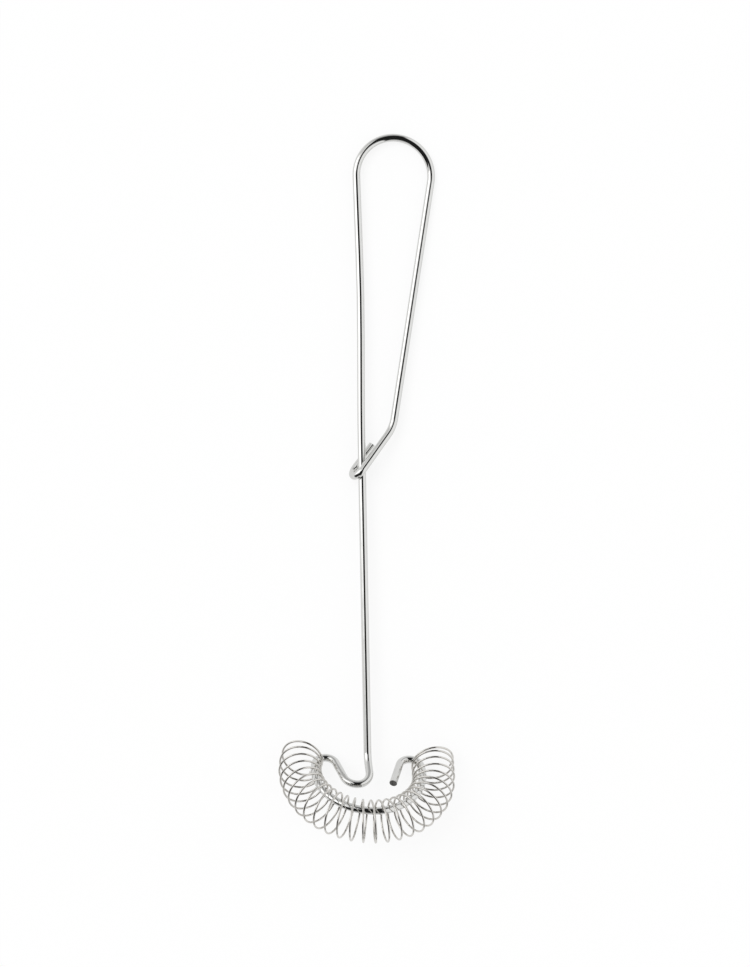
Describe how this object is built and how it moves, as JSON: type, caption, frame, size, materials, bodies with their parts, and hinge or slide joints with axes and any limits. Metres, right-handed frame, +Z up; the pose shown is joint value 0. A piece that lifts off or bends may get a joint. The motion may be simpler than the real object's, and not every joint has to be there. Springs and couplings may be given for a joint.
{
  "type": "spiral whisk",
  "caption": "Spiral whisk of bent round wire: a long loop handle hooked round a straight shaft, and a slanted ring foot that carries a loose spring coil.",
  "frame": {"origin": "middle of the bounding box, on the table that the whisk lies on", "axes": "+Y from the ring foot to the handle loop, +Z up from the table, +X to the right"},
  "size_m": [0.0688, 0.2732, 0.039],
  "materials": {
    "frame_wire": "polished bright wire, cut ends left rough",
    "coil_wire": "bright drawn spring wire"
  },
  "bodies": {
    "frame": {"wire_frame": "frame_wire"},
    "coil": {"whisk_coil": "coil_wire"}
  },
  "joints": [
    {"name": "coil_play", "type": "hinge", "parent": "frame", "child": "coil", "pos_m": [0.00053, -0.11106, 0.01024], "axis": [0.0497, 0.7624, 0.6451], "range_deg": [-1, 1]}
  ]
}
